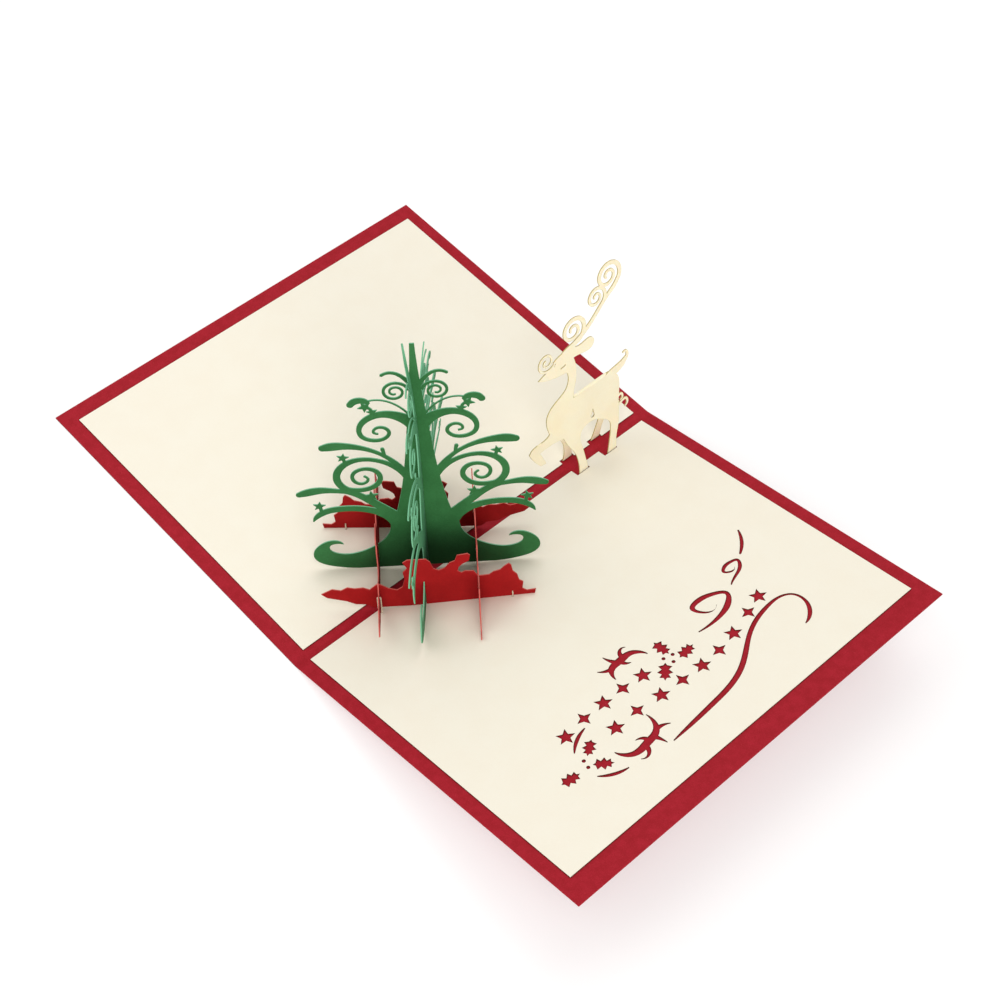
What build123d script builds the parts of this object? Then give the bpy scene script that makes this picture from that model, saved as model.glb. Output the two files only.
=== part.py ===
from build123d import *
from math import atan2, cos, degrees, hypot, pi, radians, sin, tan, tau
import os

# A pop-up greeting card standing open on a table.  Lengths are in millimetres, angles in degrees.
# X runs across the fold, Y runs along it and Z is up.  The left half (-X) lies flat on the table
# and the right half is raised.  The origin is under the middle of the opened card's footprint.

# Driving dimensions: the folded cover and its two liners
half_width = 122.0
fold_length = 150.0
right_raise = 13.65
cover_thickness = 0.4
liner_thickness = 0.3
crease_radius = 0.6
liner_right_margins = {"fold": 1.9, "outer": 7.9, "near": 4.6, "far": 4.7}
liner_left_margins = {"fold": 2.5, "outer": 5.7, "near": 5.2, "far": 4.2}
twig_width = 2.5
twig_tip = 0.3
thorn_width = 2.0

# Driving dimensions: the slotted pop-up of green and red panels
panel_thickness = 0.35
slot_clearance = 0.15
seat_clearance = 0.15
tree_from_near_end = 53.5
tree_from_fold = -0.3
tree_turn = 5.4
cross_skew = 4.5
grid_spacing = 15.1
panel_base = 2.6
ground_drop = 0.8
tree_height = 98.4
tree_lap = 50.0
root_lap = 7.6
grid_lap = 8.0
root_slot_top = 20.0
ground_slot_top = 27.0

# Driving dimensions: the thread ties
thread_diameter = 0.4
thread_clearance = 0.12
thread_end_clearance = 0.04
tie_corner_radius = 0.28
boot_tie = (25.3, 6.0)
tail_tie = (-16.9, 8.6)

# Driving dimensions: the reindeer
deer_from_near_end = 122.0
deer_from_fold = 0.5
deer_foot_spread = 4.0
deer_ridge_height = 33.3
deer_ridge_radius = 0.45
deer_notch_clearance = 0.25
deer_hoof_clearance = 0.05
deer_ridge_ends = (-7.3, 7.2)
front_notch = (-8.9, -3.5)
rear_notch = (3.4, 9.0)

# Values that follow from the ones above
fold_x = half_width * (1 - cos(radians(right_raise))) / 2
half_opening = right_raise / 2
card_thickness = cover_thickness + liner_thickness
deer_lean = degrees(atan2(deer_foot_spread - deer_ridge_radius, deer_ridge_height))
slot_width = panel_thickness + slot_clearance
tie_reach = panel_thickness / 2 + thread_clearance + thread_diameter / 2
trim_reach = 2 * half_width

fold_point = Vector(fold_x, 0, 0)
left_half = Plane(origin=fold_point, x_dir=(1, 0, 0), z_dir=(0, 0, 1))
right_half = Plane(fold_point).rotated((0, -right_raise, 0))
stand = Plane(fold_point).rotated((0, -half_opening, 0))
upright = Rot(90, 0, 0)


def along(from_near_end):
    """Y of a point given by its distance from the near end of the fold."""
    return from_near_end - fold_length / 2


# Drawing helpers

def unit_normal(before, after):
    """Left-hand normal of the step from one point to the next."""
    dx = after[0] - before[0]
    dy = after[1] - before[1]
    size = hypot(dx, dy)
    return (-dy / size, dx / size)


def ribbon(points, widths, pointed=False):
    """A curved strip through points, as wide as widths say, with a round or a pointed far end."""
    last = len(points) - 1
    left = []
    right = []
    for i, (x, y) in enumerate(points):
        nx, ny = unit_normal(points[max(i - 1, 0)], points[min(i + 1, last)])
        half = widths[i] / 2
        left.append((x + nx * half, y + ny * half))
        right.append((x - nx * half, y - ny * half))
    start = Line(right[0], left[0])
    nx, ny = unit_normal(points[-2], points[-1])
    reach = widths[-1] / 2
    tip = (points[-1][0] + ny * reach, points[-1][1] - nx * reach)
    if pointed:
        end = Polyline(left[-1], tip, right[-1])
    else:
        end = ThreePointArc(left[-1], tip, right[-1])
    return make_face([start, Spline(*left), end, Spline(*right[::-1])])


def curl_points(centre, radii, start, turns, steps):
    """Points of a spiral whose radius goes evenly from the first radius to the second."""
    points = []
    for i in range(steps + 1):
        share = i / steps
        radius = radii[0] + (radii[1] - radii[0]) * share
        angle = radians(start + 360 * turns * share)
        points.append((centre[0] + radius * cos(angle), centre[1] + radius * sin(angle)))
    return points


def tapered(count, first, last):
    """Widths that go evenly from first to last."""
    return [first + (last - first) * i / (count - 1) for i in range(count)]


def swelling(count, tip, widest):
    """Widths of a stroke that is widest in the middle and thin at both tips."""
    return [tip + (widest - tip) * sin(pi * i / (count - 1)) for i in range(count)]


def star(centre, radius, turn=90.0, points=5, waist=0.45):
    """A flat star with a point at the given turn."""
    corners = []
    for i in range(2 * points):
        reach = radius if i % 2 == 0 else radius * waist
        angle = radians(turn) + i * tau / (2 * points)
        corners.append((centre[0] + reach * cos(angle), centre[1] + reach * sin(angle)))
    return make_face(Polyline(*corners, close=True))


def smooth_outline(*stretches):
    """A face bounded by stretches of points: two points make a line, more make a smooth curve."""
    edges = []
    for points in stretches:
        edges.append(Line(*points) if len(points) == 2 else Spline(*points))
    return make_face(edges)


def plate(face):
    """A drawn face as card of the panels' thickness, centred on its drawing plane."""
    return extrude(face, amount=panel_thickness / 2, both=True)


def slot(at, low, high):
    """A slot for a crossing panel, drawn upright."""
    return Pos(at, (low + high) / 2) * Rectangle(slot_width, high - low)


def card_below(height):
    """Everything lower than the two opened halves would be if they were this thick."""
    rise = radians(right_raise)
    corner = (fold_x - height * tan(radians(half_opening)), height)
    left_end = (corner[0] - trim_reach, height)
    right_end = (corner[0] + trim_reach * cos(rise), corner[1] + trim_reach * sin(rise))
    lower_corners = [(right_end[0], -trim_reach), (left_end[0], -trim_reach)]
    outline = Polyline(corner, right_end, *lower_corners, left_end, close=True)
    return extrude(Plane.XZ * make_face(outline), amount=fold_length, both=True)


# The cover and its liners

def make_cover():
    """One sheet of card with a single rounded crease."""
    rise = radians(right_raise)
    left_x = fold_x - half_width
    right_end = (fold_x + half_width * cos(rise), half_width * sin(rise))
    right_top = (right_end[0] - cover_thickness * sin(rise), right_end[1] + cover_thickness * cos(rise))
    inner_corner = (fold_x - cover_thickness * tan(rise / 2), cover_thickness)
    under = FilletPolyline((left_x, 0), (fold_x, 0), right_end, radius=crease_radius + cover_thickness)
    upper = FilletPolyline(right_top, inner_corner, (left_x, cover_thickness), radius=crease_radius)
    ends = [Line(right_end, right_top), Line((left_x, cover_thickness), (left_x, 0))]
    return extrude(Plane.XZ * make_face([under, upper, *ends]), amount=fold_length / 2, both=True)


def liner_sheet(margins, side):
    """A plain liner on one half: side is 1 for the right half and -1 for the left."""
    width = half_width - margins["fold"] - margins["outer"]
    length = fold_length - margins["near"] - margins["far"]
    centre_x = side * (margins["fold"] + width / 2)
    centre_y = (margins["near"] - margins["far"]) / 2
    return Pos(centre_x, centre_y) * Rectangle(width, length)


def deer_notches(side):
    """Notches at the fold edge of a liner, where the reindeer's hooves reach the cover."""
    depth = deer_foot_spread + side * deer_from_fold + panel_thickness / 2 + deer_notch_clearance
    notches = []
    for low, high in (front_notch, rear_notch):
        y = along(deer_from_near_end) + (low + high) / 2
        notches.append(Pos(side * depth / 2, y) * Rectangle(depth, high - low))
    return notches


def holly_leaf(centre, length, turn):
    """A prickly leaf with its long axis at the given turn."""
    half = length / 2
    prickles = [(-1.0, 0), (-0.74, 0.16), (-0.6, 0.62), (-0.24, 0.32), (0.1, 0.7), (0.3, 0.3), (0.68, 0.5),
                (0.7, 0.14), (1.0, 0)]
    side = [(x * half, y * half) for x, y in prickles]
    lower = [(x, -y) for x, y in side[-2:0:-1]]
    return Pos(*centre) * Rot(0, 0, turn) * make_face(Polyline(*side, *lower, close=True))


def thorny_twig(stem, thorns):
    """A bent twig, widest in the middle, with pointed thorns that start inside it."""
    twig = ribbon(stem, swelling(len(stem), twig_tip, twig_width), pointed=True)
    for thorn in thorns:
        twig += ribbon(thorn, tapered(len(thorn), thorn_width, twig_tip), pointed=True)
    return twig


def liner_ornament():
    """The cut-outs of the right liner, drawn from the fold's near end."""
    upper_stem = [(74.4, 74.3), (72.0, 73.0), (70.4, 70.6), (70.3, 68.2), (70.4, 65.7), (70.9, 62.9),
                  (72.4, 61.6), (74.6, 61.0)]
    upper_thorns = [
        [(70.4, 68.6), (68.6, 68.6), (67.4, 69.9), (67.8, 71.6)],
        [(70.6, 66.0), (68.3, 64.8), (65.9, 64.2)],
        [(70.6, 66.8), (72.2, 67.2), (73.2, 68.6)],
        [(71.0, 63.6), (70.3, 61.2), (68.7, 59.3)],
    ]
    lower_stem = [(93.1, 42.0), (95.3, 42.9), (97.2, 44.9), (97.8, 47.9), (97.4, 50.8), (97.0, 53.8),
                  (95.6, 56.2), (93.1, 57.5), (90.1, 57.7)]
    lower_thorns = [
        [(95.8, 55.8), (96.1, 58.0), (97.3, 60.2)],
        [(97.0, 53.4), (99.0, 54.2), (101.4, 54.7)],
        [(97.1, 51.6), (95.4, 51.0), (94.4, 49.1)],
        [(97.6, 49.4), (99.5, 49.2), (100.8, 47.6), (100.2, 45.5)],
    ]
    cuts = [
        # the long ribbon that ends in an open hook
        ribbon([(102.3, 56.3), (101.9, 63.0), (101.2, 73.2), (100.2, 82.0), (98.2, 88.4), (94.9, 94.1),
                (91.4, 99.4), (88.7, 105.6), (87.5, 112.0), (87.8, 117.2), (89.8, 120.2), (93.3, 121.0),
                (97.6, 119.0), (100.3, 114.2)],
               [0.4, 1.3, 1.7, 1.8, 1.8, 1.7, 1.5, 1.5, 1.3, 0.9, 0.8, 1.0, 1.4, 0.4], pointed=True),
        # two hanging loops and the stroke above them
        ribbon([(79.6, 90.4), (80.1, 95.0), (79.7, 100.2), (77.8, 105.2), (75.0, 107.4), (72.2, 104.2),
                (70.9, 99.2), (71.9, 95.9), (74.4, 96.4), (76.1, 101.8)],
               [0.4, 1.0, 1.6, 1.9, 1.4, 1.5, 1.8, 1.6, 1.1, 0.3], pointed=True),
        ribbon([(73.8, 110.8), (71.9, 115.4), (69.7, 119.0), (68.1, 119.6), (67.2, 117.8), (67.3, 114.6),
                (68.5, 113.2), (69.6, 114.0), (69.5, 116.8)],
               [0.4, 1.0, 1.2, 1.1, 1.1, 1.2, 1.0, 0.8, 0.3], pointed=True),
        ribbon([(59.6, 129.2), (63.9, 126.2), (67.0, 122.1)], [0.5, 1.2, 0.7], pointed=True),
        # the pair of arcs round the lower leaves
        ribbon([(80.8, 42.4), (82.2, 38.0), (85.1, 34.1)], [0.4, 1.2, 0.4], pointed=True),
        ribbon([(99.8, 41.1), (98.4, 36.6), (95.6, 32.9)], [0.4, 1.2, 0.4], pointed=True),
        thorny_twig(upper_stem, upper_thorns),
        thorny_twig(lower_stem, lower_thorns),
    ]
    for centre, length, turn in [((82.0, 82.7), 6.4, 96), ((75.9, 78.5), 6.4, 0), ((83.0, 72.8), 6.8, -46),
                                 ((86.8, 38.3), 6.0, -55), ((93.7, 37.2), 6.2, 50), ((90.9, 27.1), 6.4, 82)]:
        cuts.append(holly_leaf(centre, length, turn))
    # two rows of small stars and diamonds follow the berries
    for centre in [(80.0, 79.0), (79.2, 76.0), (82.1, 77.2), (89.0, 34.0), (91.5, 33.3)]:
        cuts.append(Pos(*centre) * Circle(0.6))
    row_one = [(79.2, 36.4), (78.2, 44.6), (78.2, 52.4), (78.4, 60.0), (79.2, 67.4)]
    row_two = [(87.2, 48.4), (87.2, 57.0), (88.2, 65.8), (88.8, 74.0), (89.2, 81.8), (88.8, 89.4),
               (87.4, 97.0), (85.0, 106.0), (82.8, 112.8)]
    for row in (row_one, row_two):
        for i, centre in enumerate(row):
            if i % 2 == 0:
                cuts.append(star(centre, 3.0, turn=0))
            else:
                cuts.append(star(centre, 2.7, turn=0, points=4, waist=0.42))
    return cuts


def thread_holes(ties, side):
    """Pairs of holes in a liner for the ties that reach that half."""
    holes = []
    for tie in ties:
        if tie["side"] == side:
            for x, y in tie["holes"]:
                holes.append(Pos(x, y) * Circle(thread_diameter / 2 + thread_clearance))
    return holes


def make_liner(half, margins, side, ties, ornament):
    """A liner glued on one half of the cover, with its notches, thread holes and cut-outs."""
    sheet = liner_sheet(margins, side) - deer_notches(side) - thread_holes(ties, side)
    if ornament:
        sheet -= Pos(0, along(0)) * (Sketch() + ornament)
    return half.location * Pos(0, 0, cover_thickness) * extrude(sheet, amount=liner_thickness)


# The green panels

def tree_half():
    """The right side of the tree's outline: the trunk with its root, then each branch and ornament."""
    base = panel_base
    trunk = smooth_outline(
        [(0, base), (0, tree_height)],
        [(0, tree_height), (0.7, tree_height)],
        [(0.7, tree_height), (1.5, 84.0), (3.1, 66.0), (5.2, 45.0), (8.3, 27.5)],
        [(8.3, 27.5), (10.6, 24.4)],
        [(10.6, 24.4), (10.4, 21.4), (11.6, 17.4), (14.6, 13.8), (18.8, 11.0), (23.4, 9.6), (27.4, 10.2),
         (29.5, 12.2), (29.2, 14.0), (27.6, 14.7), (25.2, 14.3)],
        [(25.2, 14.3), (26.6, 15.9), (29.0, 16.2), (32.2, 14.6), (34.4, 11.6), (34.6, 8.6), (32.8, 6.0),
         (29.2, 4.2), (24.4, 3.0), (21.0, base)],
        [(21.0, base), (0, base)])
    arm = [(1.4, 66.4), (5.4, 69.8), (10.0, 70.9), (14.2, 69.3), (16.7, 65.6), (16.1, 61.9), (13.0, 60.2),
           (9.6, 60.9), (8.3, 63.2), (9.7, 65.3), (12.0, 65.2), (12.8, 63.8), (11.7, 62.9)]
    outer_arc = [(4.2, 43.8), (7.5, 48.4), (12.0, 51.3), (17.0, 52.3), (21.5, 50.9), (24.5, 47.0),
                 (24.6, 43.0), (22.8, 40.0), (20.2, 38.4)]
    inner_curl = [(22.4, 40.0), (18.2, 38.9), (14.2, 40.2), (12.1, 43.6), (13.3, 47.0), (16.8, 48.1),
                  (19.9, 46.2), (19.8, 43.0), (17.6, 41.7), (15.8, 43.0), (16.6, 44.8)]
    top_curl = curl_points((5.8, 79.7), (3.9, 0.9), start=172, turns=-1.75, steps=14)
    parts = [
        ribbon([(0.9, 81.6), (3.2, 85.4), (6.0, 87.3), (9.0, 86.6)], [1.5, 1.2, 1.0, 1.0]),
        ribbon(top_curl, tapered(15, 0.95, 0.6)),
        ribbon(arm, [4.6, 3.3, 2.5, 2.1, 1.6, 1.4, 1.3, 1.2, 1.1, 1.0, 0.9, 0.8, 0.7]),
        ribbon([(11.8, 70.0), (12.6, 72.2), (14.2, 74.6)], [0.9, 0.7, 0.7]),
        ribbon([(13.2, 75.4), (14.6, 76.7), (16.6, 76.9), (18.5, 75.4)], [0.8, 1.9, 2.3, 2.1]),
        ribbon([(2.2, 70.2), (5.2, 74.0), (9.0, 76.4), (13.4, 76.6)], [0.6, 0.5, 0.45, 0.45]),
        ribbon([(4.6, 45.2), (7.6, 50.4), (11.6, 54.4), (17.0, 57.3), (22.0, 58.4), (25.6, 58.4),
                (27.8, 58.0)], [2.2, 1.6, 1.3, 1.8, 2.7, 3.2, 2.4]),
        ribbon([(10.1, 53.4), (10.7, 56.3)], [0.8, 1.2]),
        ribbon(outer_arc, [2.4, 1.9, 1.5, 1.6, 2.0, 2.2, 2.2, 2.2, 2.2]),
        ribbon(inner_curl, [1.4, 1.7, 1.7, 1.6, 1.5, 1.3, 1.2, 1.1, 1.0, 0.9, 0.8]),
        ribbon([(19.6, 38.2), (24.5, 38.9), (30.0, 39.6), (33.8, 39.0), (36.4, 38.2)],
               [2.2, 1.7, 2.6, 2.9, 2.0]),
        ribbon([(7.6, 25.6), (11.0, 29.2), (15.5, 33.7), (20.0, 37.4), (24.0, 39.0)],
               [3.6, 3.0, 2.6, 2.2, 1.8]),
        ribbon([(9.0, 24.6), (13.0, 28.2), (18.0, 30.3), (24.0, 30.9), (29.0, 30.0), (32.0, 27.9),
                (33.3, 25.8)], [4.4, 2.8, 2.4, 2.3, 2.3, 1.7, 0.4], pointed=True),
        ribbon([(21.7, 50.6), (22.3, 53.0)], [1.2, 0.9]),
        ribbon([(30.3, 29.4), (30.9, 32.2)], [1.2, 0.9]),
        star((14.5, 74.2), 2.2, turn=60),
        star((12.6, 72.0), 1.7, turn=80),
        star((22.4, 53.4), 1.9, turn=100),
        star((15.2, 36.0), 2.2, turn=85),
        star((31.0, 32.6), 2.0, turn=98),
    ]
    return trunk + parts


def tree_panel(cut_from_above, crossings):
    """A whole tree panel: halves mirrored about the trunk, a lap slot, and slots in both roots."""
    half = tree_half()
    whole = half + mirror(half, Plane.YZ)
    clear = tree_height + panel_thickness
    if cut_from_above:
        whole -= slot(0, tree_lap, clear)
    else:
        whole -= slot(0, 0, tree_lap)
    return whole - [slot(at, root_lap, root_slot_top) for at in crossings]


# The red panels

def ground_outline():
    """The ragged red ground: a long tail to the left, a boot to the right and a hook between."""
    base = panel_base
    top = [(-32.4, 10.2), (-29.0, 12.3), (-26.4, 11.5), (-24.4, 12.8), (-22.2, 12.1), (-19.6, 12.3),
           (-17.8, 11.2), (-15.1, 14.0), (-12.0, 11.4), (-9.5, 10.4), (-7.8, 11.8), (-7.0, 15.2),
           (-7.4, 18.6), (-6.0, 20.6), (-7.2, 23.2), (-5.8, 24.4), (-0.3, 24.4), (0.9, 23.0),
           (1.8, 19.8), (3.4, 18.8), (5.2, 19.8), (6.8, 22.2), (8.3, 22.9), (9.0, 25.4),
           (12.2, 26.0), (12.9, 25.2), (12.5, 22.8), (10.6, 21.4),
           (9.4, 20.0), (9.0, 18.2), (10.1, 17.1), (11.2, 17.9), (13.8, 17.7), (15.1, 15.2), (18.4, 15.5),
           (19.7, 16.8), (21.8, 17.6), (23.0, 19.2), (24.4, 20.4), (25.1, 19.4), (25.5, 16.7), (26.8, 15.0),
           (27.4, 12.2), (28.6, 11.2), (28.3, 8.0), (29.7, 6.9), (32.4, 7.4), (31.8, 3.6), (29.0, base)]
    underside = [(-17.2, base), (-18.8, 4.2), (-22.4, 4.7), (-24.9, 6.3), (-28.7, 7.7), (-30.7, 8.4)]
    return make_face(Polyline(*top, *underside, close=True))


def ground_panel(cut_from_above, root_crossing):
    """A red panel with its two grid slots, its slot for a tree root and its thread hole."""
    face = Pos(0, -ground_drop) * ground_outline() - slot(root_crossing, 0, root_lap)
    for at in (-grid_spacing, grid_spacing):
        face -= slot(at, grid_lap, ground_slot_top) if cut_from_above else slot(at, 0, grid_lap)
    tie_hole = boot_tie if cut_from_above else tail_tie
    return face - Pos(*tie_hole) * Circle(thread_diameter / 2 + thread_clearance)


# Placing panels and ties

def grid_place(side_step, turn, flipped=False):
    """Location of an upright panel that runs at turn degrees, side_step away from the tree's axis."""
    axis = Pos(tree_from_fold, along(tree_from_near_end), 0)
    facing = Rot(0, 0, 180) if flipped else Rot(0, 0, 0)
    return stand.location * axis * Rot(0, 0, turn) * Pos(0, side_step, 0) * facing * upright


def tie_at(place, at, height, turn):
    """One thread tie: where it goes through its panel, how far it drops and where it meets a liner."""
    hole = stand.to_local_coords((place * Pos(at, height, 0)).position)
    side = 1 if hole.X > 0 else -1
    half = right_half if side == 1 else left_half
    tie_place = stand.location * Pos(hole.X, hole.Y, hole.Z) * Rot(0, 0, turn + 90)
    drops = []
    liner_holes = []
    for sign in (-1, 1):
        top = tie_place * Pos(sign * tie_reach, 0, 0)
        above_cover = half.to_local_coords(top.position).Z - cover_thickness
        drops.append(above_cover / cos(radians(half_opening)))
        middle = top * Pos(0, 0, -(above_cover - liner_thickness / 2) / cos(radians(half_opening)))
        in_liner = half.to_local_coords(middle.position)
        liner_holes.append((in_liner.X, in_liner.Y))
    drop = min(drops) - thread_end_clearance
    return {"side": side, "place": tie_place, "drop": drop, "holes": liner_holes}


def make_tie(tie):
    """A loop of thread through its panel, with a leg down each face into the liner."""
    drop = tie["drop"]
    corners = [(-tie_reach, 0, -drop), (-tie_reach, 0, 0), (tie_reach, 0, 0), (tie_reach, 0, -drop)]
    route = FilletPolyline(*corners, radius=tie_corner_radius)
    return tie["place"] * sweep(Plane(origin=corners[0]) * Circle(thread_diameter / 2), path=route)


# The reindeer

def deer_legs():
    """The body below the back with its two standing legs, from the ridge down to the hooves."""
    ridge = deer_ridge_height / cos(radians(deer_lean))
    return smooth_outline(
        [(deer_ridge_ends[0], ridge), (deer_ridge_ends[1], ridge)],
        [(deer_ridge_ends[1], ridge), (8.6, 33.2), (11.2, 31.2), (12.0, 27.5), (11.4, 22.0), (10.9, 15.0),
         (10.3, 10.0), (9.2, 6.0), (8.9, 3.0), (8.3, 0)],
        [(8.3, 0), (4.7, 0)],
        [(4.7, 0), (5.6, 3.6), (6.4, 7.2), (7.0, 10.6), (6.9, 13.4), (5.4, 15.8), (3.4, 17.2), (1.6, 18.6)],
        [(1.6, 18.6), (-2.0, 19.5), (-5.2, 18.6)],
        [(-5.2, 18.6), (-6.3, 15.6), (-5.6, 11.4), (-5.0, 8.0), (-4.2, 3.0), (-3.9, 0)],
        [(-3.9, 0), (-8.0, 0)],
        [(-8.0, 0), (-7.6, 3.0), (-7.9, 7.0), (-8.7, 10.4), (-10.8, 14.6), (-12.6, 18.6), (-13.6, 23.0),
         (-12.4, 28.0), (-9.0, 32.0), (deer_ridge_ends[0], ridge)])


def deer_front():
    """Chest, raised foreleg, neck, head and ear."""
    ridge = deer_ridge_height / cos(radians(deer_lean))
    return smooth_outline(
        [(-4.0, ridge), (-7.6, 33.8)],
        [(-7.6, 33.8), (-7.4, 36.0), (-6.3, 39.4), (-5.6, 43.0), (-5.6, 46.6), (-6.2, 49.4)],
        [(-6.2, 49.4), (-2.6, 48.9), (1.6, 49.0), (2.7, 50.8), (1.8, 52.7), (-2.2, 52.7), (-5.6, 53.6)],
        [(-5.6, 53.6), (-8.6, 54.6), (-11.6, 53.2), (-14.2, 50.9)],
        [(-14.2, 50.9), (-17.6, 50.4), (-21.0, 49.2)],
        [(-21.0, 49.2), (-18.0, 47.6), (-13.6, 46.2), (-9.4, 45.4)],
        [(-9.4, 45.4), (-9.0, 42.2), (-10.2, 39.4), (-13.0, 37.5), (-16.8, 35.6), (-19.0, 33.0),
         (-19.4, 29.4), (-18.6, 25.8)],
        [(-18.6, 25.8), (-21.0, 24.7), (-25.8, 24.4), (-27.6, 22.9)],
        [(-27.6, 22.9), (-26.0, 19.4), (-23.4, 15.6)],
        [(-23.4, 15.6), (-21.2, 15.2)],
        [(-21.2, 15.2), (-22.2, 18.2), (-23.4, 21.0)],
        [(-23.4, 21.0), (-18.4, 21.2), (-12.6, 20.0)],
        [(-12.6, 20.0), (-4.0, 24.0)],
        [(-4.0, 24.0), (-4.0, ridge)])


def deer_trim():
    """Antlers, the curl at the brow, the tail and the two curls behind the thigh."""
    first = curl_points((-5.5, 59.5), (5.2, 1.0), start=-76, turns=1.7, steps=14)
    second = curl_points((4.8, 66.0), (4.0, 0.8), start=-50, turns=1.6, steps=12)
    third = curl_points((10.2, 71.3), (5.2, 0.9), start=-48, turns=1.7, steps=14)
    brow = curl_points((-17.0, 54.2), (3.8, 0.8), start=-30, turns=-1.6, steps=12)
    return [
        ribbon(first, tapered(15, 1.6, 0.8)),
        ribbon([(-8.6, 53.4), (-6.0, 54.1), (-2.6, 55.6), (1.6, 58.0), (5.8, 61.4), (9.4, 64.2),
                (12.2, 66.0), (14.0, 68.0)], [2.6, 2.2, 1.8, 1.5, 1.5, 1.5, 1.6, 1.5]),
        ribbon(second, tapered(13, 1.3, 0.7)),
        ribbon(third, tapered(15, 1.6, 0.8)),
        ribbon([(-10.0, 52.8), (-12.4, 52.4), (-14.0, 52.2)], [2.0, 1.8, 0.9]),
        ribbon(brow, tapered(13, 0.9, 0.6)),
        ribbon([(6.5, 32.4), (10.0, 33.2), (13.4, 34.0), (15.4, 35.6)], [2.6, 3.2, 2.8, 1.2]),
        ribbon([(14.6, 34.6), (16.1, 36.2), (15.8, 38.0), (14.6, 38.1)], [1.4, 1.1, 0.9, 0.8]),
        ribbon([(10.2, 19.4), (10.9, 21.8), (12.4, 22.2), (13.0, 20.8), (12.2, 19.9)],
               [1.4, 1.0, 0.9, 0.8, 0.7]),
        ribbon([(10.2, 16.6), (12.6, 19.0), (14.4, 19.0), (15.0, 17.2), (14.0, 16.0)],
               [1.6, 1.0, 0.9, 0.8, 0.7]),
    ]


def make_ridge():
    """The rounded fold along the back, tangent to both leaning sides."""
    lean = radians(deer_lean)
    middle_radius = deer_ridge_radius / cos(lean)
    centre = (0, deer_ridge_height - middle_radius * sin(lean))
    arcs = []
    for radius in (middle_radius - panel_thickness / 2, middle_radius + panel_thickness / 2):
        arcs.append(CenterArc(centre, radius, deer_lean, 180 - 2 * deer_lean))
    ends = [Line(arcs[0] @ 0, arcs[1] @ 0), Line(arcs[0] @ 1, arcs[1] @ 1)]
    low, high = deer_ridge_ends
    bar = extrude(Plane.XZ * make_face([*arcs, *ends]), amount=(high - low) / 2, both=True)
    return Pos(0, (low + high) / 2, 0) * bar


def make_reindeer():
    """One folded sheet: two leaning sides joined by a rounded ridge along the back."""
    near_side = Pos(deer_foot_spread, 0, 0) * Rot(0, -deer_lean, 0) * Rot(0, 0, 90) * upright
    far_side = Pos(-deer_foot_spread, 0, 0) * Rot(0, deer_lean, 0) * Rot(0, 0, 90) * upright
    eye = ribbon([(-11.8, 48.4), (-10.0, 48.8)], [0.3, 0.7])
    point = make_face(Polyline((-0.75, 0.1), (0.3, 2.8), (0.75, 0.1), close=True))
    flank_drop = Pos(-0.3, 21.4) * (Circle(0.77) + point)
    front = deer_legs() + deer_front() + deer_trim() - eye - flank_drop
    folded = near_side * plate(front) + far_side * plate(deer_legs()) + make_ridge()
    return stand.location * Pos(deer_from_fold, along(deer_from_near_end), 0) * folded


# Building and writing every piece

def build():
    across = 90 - 45 + tree_turn
    deep = across - 90
    skew_step = grid_spacing * tan(radians(cross_skew))
    places = {
        "tree_panel_wide": grid_place(0, across),
        "tree_panel_cross": grid_place(0, deep - cross_skew),
        "ground_panel_front": grid_place(-grid_spacing, across),
        "ground_panel_back": grid_place(grid_spacing, across, flipped=True),
        "ground_panel_right": grid_place(grid_spacing, deep),
        "ground_panel_left": grid_place(-grid_spacing, deep, flipped=True),
    }
    cross_reach = grid_spacing / cos(radians(cross_skew))
    faces = {
        "tree_panel_wide": tree_panel(False, (-grid_spacing, grid_spacing)),
        "tree_panel_cross": tree_panel(True, (-cross_reach, cross_reach)),
        "ground_panel_front": ground_panel(True, -skew_step),
        "ground_panel_back": ground_panel(True, -skew_step),
        "ground_panel_right": ground_panel(False, 0),
        "ground_panel_left": ground_panel(False, 0),
    }
    ties = {
        "tie_front": tie_at(places["ground_panel_front"], *boot_tie, across),
        "tie_back": tie_at(places["ground_panel_back"], *boot_tie, across),
        "tie_fold_near": tie_at(places["ground_panel_left"], *tail_tie, deep),
        "tie_fold_far": tie_at(places["ground_panel_right"], *tail_tie, deep),
    }
    pieces = {
        "cover": make_cover(),
        "liner_right": make_liner(right_half, liner_right_margins, 1, ties.values(), liner_ornament()),
        "liner_left": make_liner(left_half, liner_left_margins, -1, ties.values(), []),
        "reindeer": make_reindeer() - card_below(cover_thickness + deer_hoof_clearance),
    }
    trim = card_below(card_thickness + seat_clearance)
    for name, face in faces.items():
        pieces[name] = places[name] * plate(face) - trim
    for name, tie in ties.items():
        pieces[name] = make_tie(tie)
    return pieces


os.makedirs("parts", exist_ok=True)
for name, piece in build().items():
    export_step(Compound(piece.solids()), f"parts/{name}.step")
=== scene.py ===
import math

import bmesh
import bpy
from mathutils import Matrix, Vector


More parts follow.
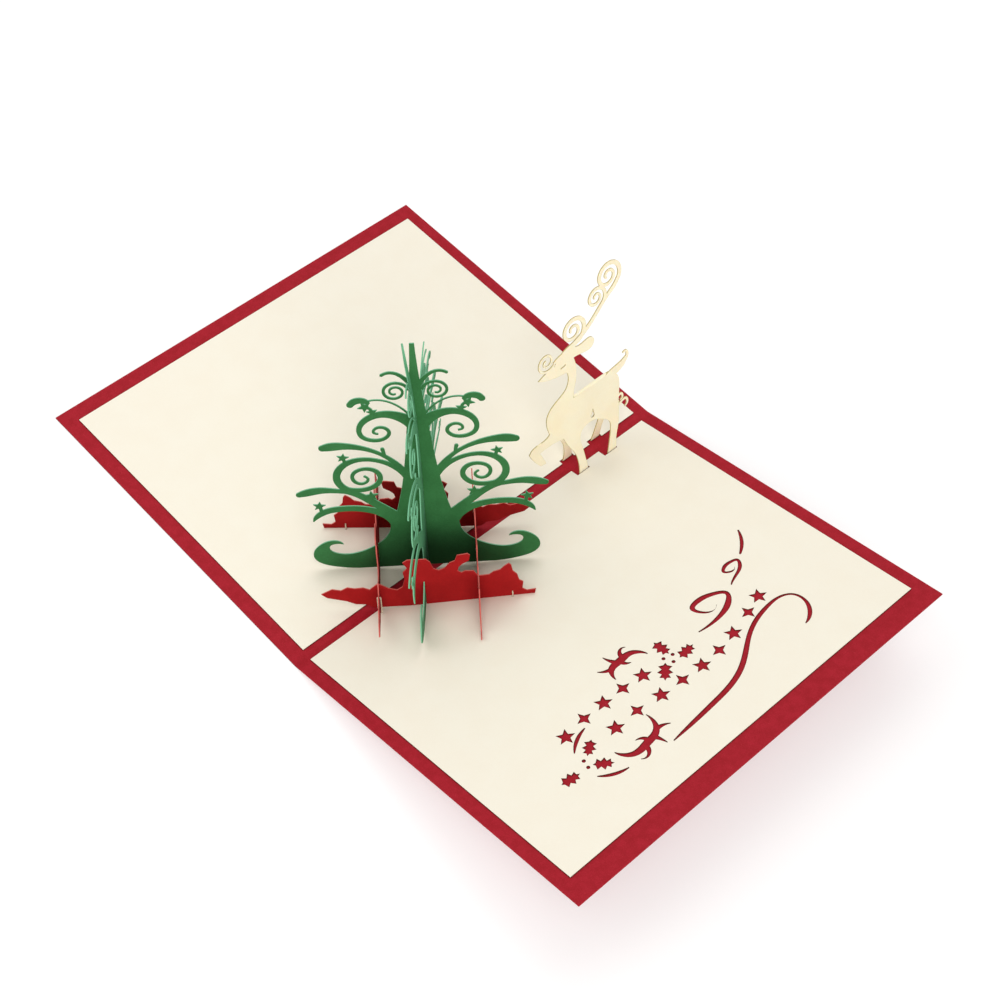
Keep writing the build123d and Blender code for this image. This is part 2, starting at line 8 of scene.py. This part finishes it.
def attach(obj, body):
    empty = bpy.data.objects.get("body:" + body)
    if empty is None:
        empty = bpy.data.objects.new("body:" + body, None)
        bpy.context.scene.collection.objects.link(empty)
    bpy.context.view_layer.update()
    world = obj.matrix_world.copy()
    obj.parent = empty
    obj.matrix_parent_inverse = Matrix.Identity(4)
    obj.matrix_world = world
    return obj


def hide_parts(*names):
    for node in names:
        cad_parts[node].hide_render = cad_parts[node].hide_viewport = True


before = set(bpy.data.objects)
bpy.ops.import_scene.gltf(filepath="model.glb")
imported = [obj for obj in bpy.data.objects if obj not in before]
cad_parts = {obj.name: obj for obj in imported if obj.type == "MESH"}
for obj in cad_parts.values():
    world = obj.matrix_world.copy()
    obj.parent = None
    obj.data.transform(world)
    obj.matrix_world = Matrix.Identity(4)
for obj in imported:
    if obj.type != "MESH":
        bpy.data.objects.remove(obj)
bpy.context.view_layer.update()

MM = 0.001


# ---------------------------------------------------------------- shader writing

class Value:
    """An output of a node; arithmetic on it adds Math nodes to the same finish."""

    def __init__(self, finish, socket):
        self.finish = finish
        self.socket = socket

    def maths(self, operation, *inputs):
        return self.finish.node("ShaderNodeMath", {"operation": operation}, dict(enumerate(inputs)))

    def __add__(self, other):
        return self.maths("ADD", self, other)

    def __sub__(self, other):
        return self.maths("SUBTRACT", self, other)

    def __rsub__(self, other):
        return self.maths("SUBTRACT", other, self)

    def __mul__(self, other):
        return self.maths("MULTIPLY", self, other)

    def __gt__(self, other):
        return self.maths("GREATER_THAN", self, other)

    def __lt__(self, other):
        return self.maths("LESS_THAN", self, other)

    def __abs__(self):
        return self.maths("ABSOLUTE", self)

    __radd__ = __add__
    __rmul__ = __mul__


class Finish:
    """A material: one Principled surface, and short calls that add nodes in front of it."""

    def __init__(self, name, **constants):
        self.material = bpy.data.materials.new(name)
        self.material.use_nodes = True
        self.nodes = self.material.node_tree.nodes
        self.links = self.material.node_tree.links
        self.surface = self.nodes["Principled BSDF"]
        for socket, value in constants.items():
            self.surface.inputs[socket.replace("_", " ")].default_value = value

    def node(self, kind, settings=None, values=None, output=0):
        """Any node: its settings are set first, then the values or links of its sockets."""
        made = self.nodes.new(kind)
        for name, setting in (settings or {}).items():
            setattr(made, name, setting)
        for key, value in (values or {}).items():
            if isinstance(value, Value):
                self.links.new(value.socket, made.inputs[key])
            else:
                made.inputs[key].default_value = value
        return Value(self, made.outputs[output])

    def place(self):
        """The point on the surface, in millimetres."""
        point = self.node("ShaderNodeTexCoord", output="Object")
        return self.node("ShaderNodeVectorMath", {"operation": "MULTIPLY"}, {0: point, 1: (1 / MM,) * 3})

    def dot(self, direction):
        """How far the face's own normal points along a direction."""
        normal = self.node("ShaderNodeNewGeometry", output="True Normal")
        return self.node("ShaderNodeVectorMath", {"operation": "DOT_PRODUCT"},
                         {0: normal, 1: tuple(direction)}, output="Value")

    def noise(self, point, per_mm, detail=2.0, roughness=0.5):
        return self.node("ShaderNodeTexNoise", {},
                         {"Vector": point, "Scale": per_mm, "Detail": detail, "Roughness": roughness})

    def stretched(self, point, factors):
        return self.node("ShaderNodeVectorMath", {"operation": "MULTIPLY"}, {0: point, 1: factors})

    def ramp(self, value, low, high):
        """0 at low, 1 at high, smooth between."""
        return self.node("ShaderNodeMapRange", {"interpolation_type": "SMOOTHSTEP"},
                         {"Value": value, "From Min": low, "From Max": high})

    def mix(self, share, first, second):
        settings = {"data_type": "RGBA", "blend_type": "MIX"}
        return self.node("ShaderNodeMix", settings, {0: share, 6: first, 7: second}, output=2)

    def bump(self, height, depth_mm):
        return self.node("ShaderNodeBump", {},
                         {"Strength": 1.0, "Distance": depth_mm * MM, "Height": height})

    def openness(self, reach_mm, **settings):
        """1 in the open, falling towards 0 in corners within a reach."""
        settings["samples"] = 8
        return self.node("ShaderNodeAmbientOcclusion", settings, {"Distance": reach_mm * MM}, output="AO")

    def feed(self, **sockets):
        for name, value in sockets.items():
            self.links.new(value.socket, self.surface.inputs[name.replace("_", " ")])
        return self.material


def rgb(red, green, blue):
    """A colour given as screen values from 0 to 255, in linear light."""
    linear = [c / 255 / 12.92 if c <= 10 else ((c / 255 + 0.055) / 1.055) ** 2.4 for c in (red, green, blue)]
    return (*linear, 1.0)


# ---------------------------------------------------------------- finishes

FLAKES_PER_MM = 2.1
FLAKE_RADIUS = 0.12
FLAKE_SHARE = 0.3
LINER_STEP_SHADE_MM = 0.8
SCORCH_WIDTH_MM = 0.22
VALLEY_SHADE_REACH_MM = 22.0
GLOW_DEPTH_MM = 0.4


def sheet_axis(node):
    """The direction across a flat sheet: the normal of its largest face."""
    largest = max(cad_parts[node].data.polygons, key=lambda face: face.area)
    return largest.normal.copy()


def card_grain(finish, point, coarse, fine):
    """Height of pressed card: a soft cloud of pulp with short fibres over it."""
    cloud = finish.noise(point, coarse, detail=4.0, roughness=0.6)
    fibres = finish.noise(finish.stretched(point, (1.0, 0.35, 0.7)), fine, detail=3.0, roughness=0.65)
    return cloud * 0.6 + fibres * 0.4


def pearl_red_card():
    """The cover: crimson card with a scatter of fine sparkle, and painted shade where the liner's edge
    shades it.
    """
    finish = Finish("pearl_red_card", Specular_IOR_Level=0.14)
    point = finish.place()
    cloud = finish.noise(point, 0.35, detail=4.0, roughness=0.6)
    fine = finish.noise(point, 3.0, detail=3.0)
    tone = finish.ramp(cloud * 0.5 + fine * 0.5, 0.38, 0.64)
    colour = finish.mix(tone, rgb(157, 21, 34), rgb(172, 28, 44))
    flakes = {"Vector": point, "Scale": FLAKES_PER_MM, "Randomness": 1.0}
    nearness = finish.node("ShaderNodeTexVoronoi", {"feature": "F1"}, flakes, output="Distance")
    chance = finish.node("ShaderNodeTexVoronoi", {"feature": "F1"}, flakes, output="Color")
    chance = finish.node("ShaderNodeSeparateColor", {}, {"Color": chance}, output="Red")
    sparkle = (nearness < FLAKE_RADIUS) * (chance > 1 - FLAKE_SHARE)
    colour = finish.mix(sparkle * 0.4, colour, rgb(214, 96, 96))
    # painted shade: the crimson darkens to a dark red in the crevice beside the liner's cut edges
    step = finish.openness(LINER_STEP_SHADE_MM)
    colour = finish.mix(finish.ramp(step, 0.95, 0.5) * 0.85, colour, rgb(62, 6, 10))
    grain = card_grain(finish, point, 1.4, 5.0)
    return finish.feed(Base_Color=colour, Roughness=0.62 - sparkle * 0.3 - cloud * 0.06,
                       Metallic=sparkle * 0.5, Normal=finish.bump(grain, 0.012))


def off_the_fold(finish):
    """0 on the rounded fold along the reindeer's back, whose faces look up and never along the fold."""
    level = abs(finish.dot((0, 1, 0))) < 0.02
    upward = finish.dot((0, 0, 1)) > 0.15
    return 1 - level * upward


def paper(name, axis, light, shade, edge, grain_depth=0.012, scorch=None, fold=False, glow=0.0,
          valley_shade=None):
    """A sheet of matt paper or card: mottled faces, and cut edges in their own colour.

    scorch tints the rim beside a burnt cut, fold keeps a rounded fold from looking cut, glow lets light
    into the sheet, and the valley colour is painted shade, laid on the faces deep between crossing panels.
    """
    finish = Finish(name, Specular_IOR_Level=0.12, Subsurface_Weight=glow,
                    Subsurface_Scale=GLOW_DEPTH_MM * MM, Subsurface_Radius=(1.0, 0.85, 0.6))
    point = finish.place()
    cloud = finish.noise(point, 0.12, detail=3.0)
    pulp = finish.noise(point, 1.6, detail=5.0, roughness=0.7)
    colour = finish.mix(finish.ramp(cloud * 0.5 + pulp * 0.5, 0.36, 0.64), shade, light)
    cut = finish.ramp(abs(finish.dot(axis)), 0.75, 0.45)
    if fold:
        cut = cut * off_the_fold(finish)
    if scorch is not None:
        rim = finish.openness(SCORCH_WIDTH_MM, only_local=True, inside=True)
        colour = finish.mix(finish.ramp(rim, 0.99, 0.7) * 0.45, colour, scorch)
    # painted shade: faces darken towards the valley colour deep in the corners between crossing panels
    if valley_shade is not None:
        valley_shade_share = finish.ramp(finish.openness(VALLEY_SHADE_REACH_MM), 0.5, 0.12)
        colour = finish.mix(valley_shade_share * 0.5, colour, valley_shade)
    colour = finish.mix(cut, colour, edge)
    grain = card_grain(finish, point, 1.2, 6.0)
    return finish.feed(Base_Color=colour, Roughness=0.76 + pulp * 0.12,
                       Normal=finish.bump(grain, grain_depth))


def cotton():
    """Off-white sewing cotton: the twist of its plies under a soft fuzz."""
    finish = Finish("cotton_thread", Specular_IOR_Level=0.2, Sheen_Weight=0.3, Sheen_Roughness=0.5)
    point = finish.place()
    fuzz = finish.noise(point, 9.0, detail=3.0, roughness=0.7)
    plies = finish.node("ShaderNodeTexWave", {"bands_direction": "DIAGONAL"},
                        {"Vector": point, "Scale": 1.1, "Distortion": 0.6}, output="Fac")
    tone = finish.ramp(plies * 0.6 + fuzz * 0.4, 0.3, 0.7)
    colour = finish.mix(tone, rgb(196, 178, 142), rgb(240, 230, 206))
    return finish.feed(Base_Color=colour, Roughness=0.82 + fuzz * 0.1,
                       Normal=finish.bump(plies * 0.7 + fuzz * 0.3, 0.04))


def set_finish(piece, material):
    piece.data.materials.clear()
    piece.data.materials.append(material)


# ---------------------------------------------------------------- the curled tree panel

TREE_HEIGHT = 98.4 * MM
LAP_HEIGHT = 50.0 * MM
TWIST_START = 12.0 * MM
TWIST_END = 34.0 * MM
PRONG_HEIGHT = 76.0 * MM
PRONG_REACH = 2.0 * MM
LAP_REACH = 0.3 * MM
NEAR_WING = {"twist": math.radians(-3.0), "lean": 2.2 * MM, "prong_turn": math.radians(-55.0)}
FAR_WING = {"twist": math.radians(-6.5), "lean": -3.3 * MM, "prong_turn": 0.0}
BEND_STEP = 2.0 * MM
CUT_TOLERANCE = 0.0001 * MM
WELD_TOLERANCE = 0.001 * MM
SHARP_EDGE = math.radians(25.0)


def panel_plane(node):
    """The middle plane of a flat panel: its normal and how far it lies from the origin."""
    across = sheet_axis(node)
    reaches = [across.dot(vertex.co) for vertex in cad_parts[node].data.vertices]
    return across, (min(reaches) + max(reaches)) / 2


def trunk_line():
    """The line where the two tree panels cross: a point on it and its upward direction."""
    wide, wide_reach = panel_plane("tree_panel_wide")
    cross, cross_reach = panel_plane("tree_panel_cross")
    up = wide.cross(cross).normalized()
    if up.z < 0:
        up.negate()
    foot = Matrix((wide, cross, up)).inverted() @ Vector((wide_reach, cross_reach, 0.0))
    return foot, up


def smooth_step(share):
    share = min(max(share, 0.0), 1.0)
    return share * share * (3 - 2 * share)


def score(work, point, normal):
    """Adds vertices where a plane crosses the mesh, so that it can bend there."""
    everything = work.verts[:] + work.edges[:] + work.faces[:]
    bmesh.ops.bisect_plane(work, geom=everything, dist=CUT_TOLERANCE, plane_co=point, plane_no=normal)


def curled(vertex, foot, up, across, outward, height):
    """Where a point of the flat panel goes: twisted about the trunk, leaning, its prong turned."""
    aside = outward.dot(vertex - foot)
    wing = NEAR_WING if aside > 0 else FAR_WING
    bent = max(0.0, (height - LAP_HEIGHT) / (TREE_HEIGHT - LAP_HEIGHT)) ** 2
    up_the_prong = smooth_step((height - PRONG_HEIGHT) / (TREE_HEIGHT - PRONG_HEIGHT))
    near_the_prong = 1 - smooth_step((abs(aside) - PRONG_REACH) / PRONG_REACH)
    turned = smooth_step((height - TWIST_START) / (TWIST_END - TWIST_START)) * wing["twist"]
    turned += up_the_prong * near_the_prong * wing["prong_turn"]
    return foot + Matrix.Rotation(turned, 3, up) @ (vertex - foot) + across * wing["lean"] * bent


def curl_cross_panel():
    """The second tree panel as its card has curled: twisted above its root, and its two prongs apart."""
    foot, up = trunk_line()
    across = sheet_axis("tree_panel_cross")
    if across.y > 0:
        across.negate()
    outward = up.cross(across)
    work = bmesh.new()
    work.from_mesh(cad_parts["tree_panel_cross"].data)
    bmesh.ops.remove_doubles(work, verts=work.verts, dist=WELD_TOLERANCE)
    base = max(up.dot(vertex.co) for vertex in work.verts) - TREE_HEIGHT
    for step in range(int(TWIST_START / BEND_STEP), int(TREE_HEIGHT / BEND_STEP)):
        score(work, foot + up * (base + step * BEND_STEP), up)
    for aside in (-PRONG_REACH, -LAP_REACH, 0.0, LAP_REACH, PRONG_REACH):
        score(work, foot + outward * aside, outward)
    for vertex in work.verts:
        vertex.co = curled(vertex.co, foot, up, across, outward, up.dot(vertex.co) - base)
    mesh = bpy.data.meshes.new("tree_panel_curled")
    work.to_mesh(mesh)
    work.free()
    mesh.shade_smooth()
    mesh.set_sharp_from_angle(angle=SHARP_EDGE)
    piece = bpy.data.objects.new("tree_panel_curled", mesh)
    bpy.context.scene.collection.objects.link(piece)
    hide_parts("tree_panel_cross")
    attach(piece, "root")
    return piece


def dress_card():
    """Gives every piece its own finish."""
    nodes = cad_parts
    set_finish(nodes["cover"], pearl_red_card())
    for node in ("liner_left", "liner_right"):
        set_finish(nodes[node], paper("ivory_" + node, sheet_axis(node), rgb(247, 241, 225),
                                      rgb(246, 239, 222), rgb(120, 74, 50), grain_depth=0.01))
    # the valley colour is painted shade for the faces deep between the tree's crossing panels
    green = {"edge": rgb(118, 182, 144), "valley_shade": rgb(14, 34, 12)}
    set_finish(nodes["tree_panel_wide"], paper("green_wide", sheet_axis("tree_panel_wide"),
                                               rgb(56, 116, 66), rgb(47, 103, 56), **green))
    # painted light: the curled panel is the same green card as the wide one, coloured lighter where its face
    # catches light at a grazing angle
    set_finish(curl_cross_panel(), paper("green_curled_painted_light", sheet_axis("tree_panel_cross"),
                                         rgb(96, 166, 122), rgb(84, 152, 108), **green))
    for side in ("front", "back", "left", "right"):
        node = "ground_panel_" + side
        set_finish(nodes[node], paper("scarlet_" + side, sheet_axis(node), rgb(164, 23, 25),
                                      rgb(149, 17, 19), rgb(206, 98, 90)))
    set_finish(nodes["reindeer"], paper("cream_card", (1, 0, 0), rgb(250, 239, 213), rgb(247, 234, 205),
                                        rgb(184, 168, 116), scorch=rgb(222, 208, 150), fold=True, glow=0.6))
    thread = cotton()
    for node in nodes:
        if node.startswith("tie_"):
            set_finish(nodes[node], thread)


# ---------------------------------------------------------------- camera, floor and light

CAMERA_PLACE = Vector((0.23984, -0.25235, 0.50117))
CAMERA_VIEW = Vector((-0.39404, 0.43036, -0.81211))
CAMERA_ROLL = math.radians(6.015)
CAMERA_LENS = 69.54
SENSOR_WIDTH = 36.0
FLOOR_REACH = 8.0
SKY_STRENGTH = 0.375


def set_camera():
    data = bpy.data.cameras.new("camera")
    data.sensor_width = SENSOR_WIDTH
    data.lens = CAMERA_LENS
    camera = bpy.data.objects.new("camera", data)
    turn = CAMERA_VIEW.to_track_quat("-Z", "Y").to_matrix().to_4x4()
    camera.matrix_world = Matrix.Translation(CAMERA_PLACE) @ turn @ Matrix.Rotation(CAMERA_ROLL, 4, "Z")
    bpy.context.scene.collection.objects.link(camera)
    bpy.context.scene.camera = camera


def make_floor():
    mesh = bpy.data.meshes.new("floor")
    corners = [(x * FLOOR_REACH, y * FLOOR_REACH, 0) for x, y in ((-1, -1), (1, -1), (1, 1), (-1, 1))]
    mesh.from_pydata(corners, [], [(0, 1, 2, 3)])
    floor = bpy.data.objects.new("floor", mesh)
    finish = Finish("floor_white", Base_Color=(0.6, 0.6, 0.6, 1.0), Roughness=0.9, Specular_IOR_Level=0.1,
                    Emission_Color=(1.0, 1.0, 1.0, 1.0), Emission_Strength=0.45)
    mesh.materials.append(finish.material)
    bpy.context.scene.collection.objects.link(floor)


def add_area_light(name, place, size, power, colour):
    data = bpy.data.lights.new(name, "AREA")
    data.size = size
    data.energy = power
    data.color = colour
    light = bpy.data.objects.new(name, data)
    light.location = place
    light.rotation_euler = (-Vector(place)).to_track_quat("-Z", "Y").to_euler()
    bpy.context.scene.collection.objects.link(light)


def set_light():
    world = bpy.data.worlds.new("studio")
    world.use_nodes = True
    background = world.node_tree.nodes["Background"]
    background.inputs["Color"].default_value = (1.0, 1.0, 1.0, 1.0)
    background.inputs["Strength"].default_value = SKY_STRENGTH
    bpy.context.scene.world = world
    add_area_light("soft_box_near_left", (-0.80, -0.70, 1.10), 1.2, 5.0, (1.0, 0.995, 0.985))
    add_area_light("soft_box_overhead", (-0.45, 0.45, 1.20), 1.1, 6.2, (1.0, 0.995, 0.985))
    add_area_light("soft_box_right", (1.40, -1.05, 0.62), 1.2, 15.5, (1.0, 0.99, 0.97))
    add_area_light("soft_box_over_viewer", (0.46, -0.49, 1.08), 0.6, 3.6, (1.0, 0.985, 0.955))
    bpy.context.scene.view_settings.view_transform = "Standard"


set_camera()
set_light()
make_floor()
dress_card()
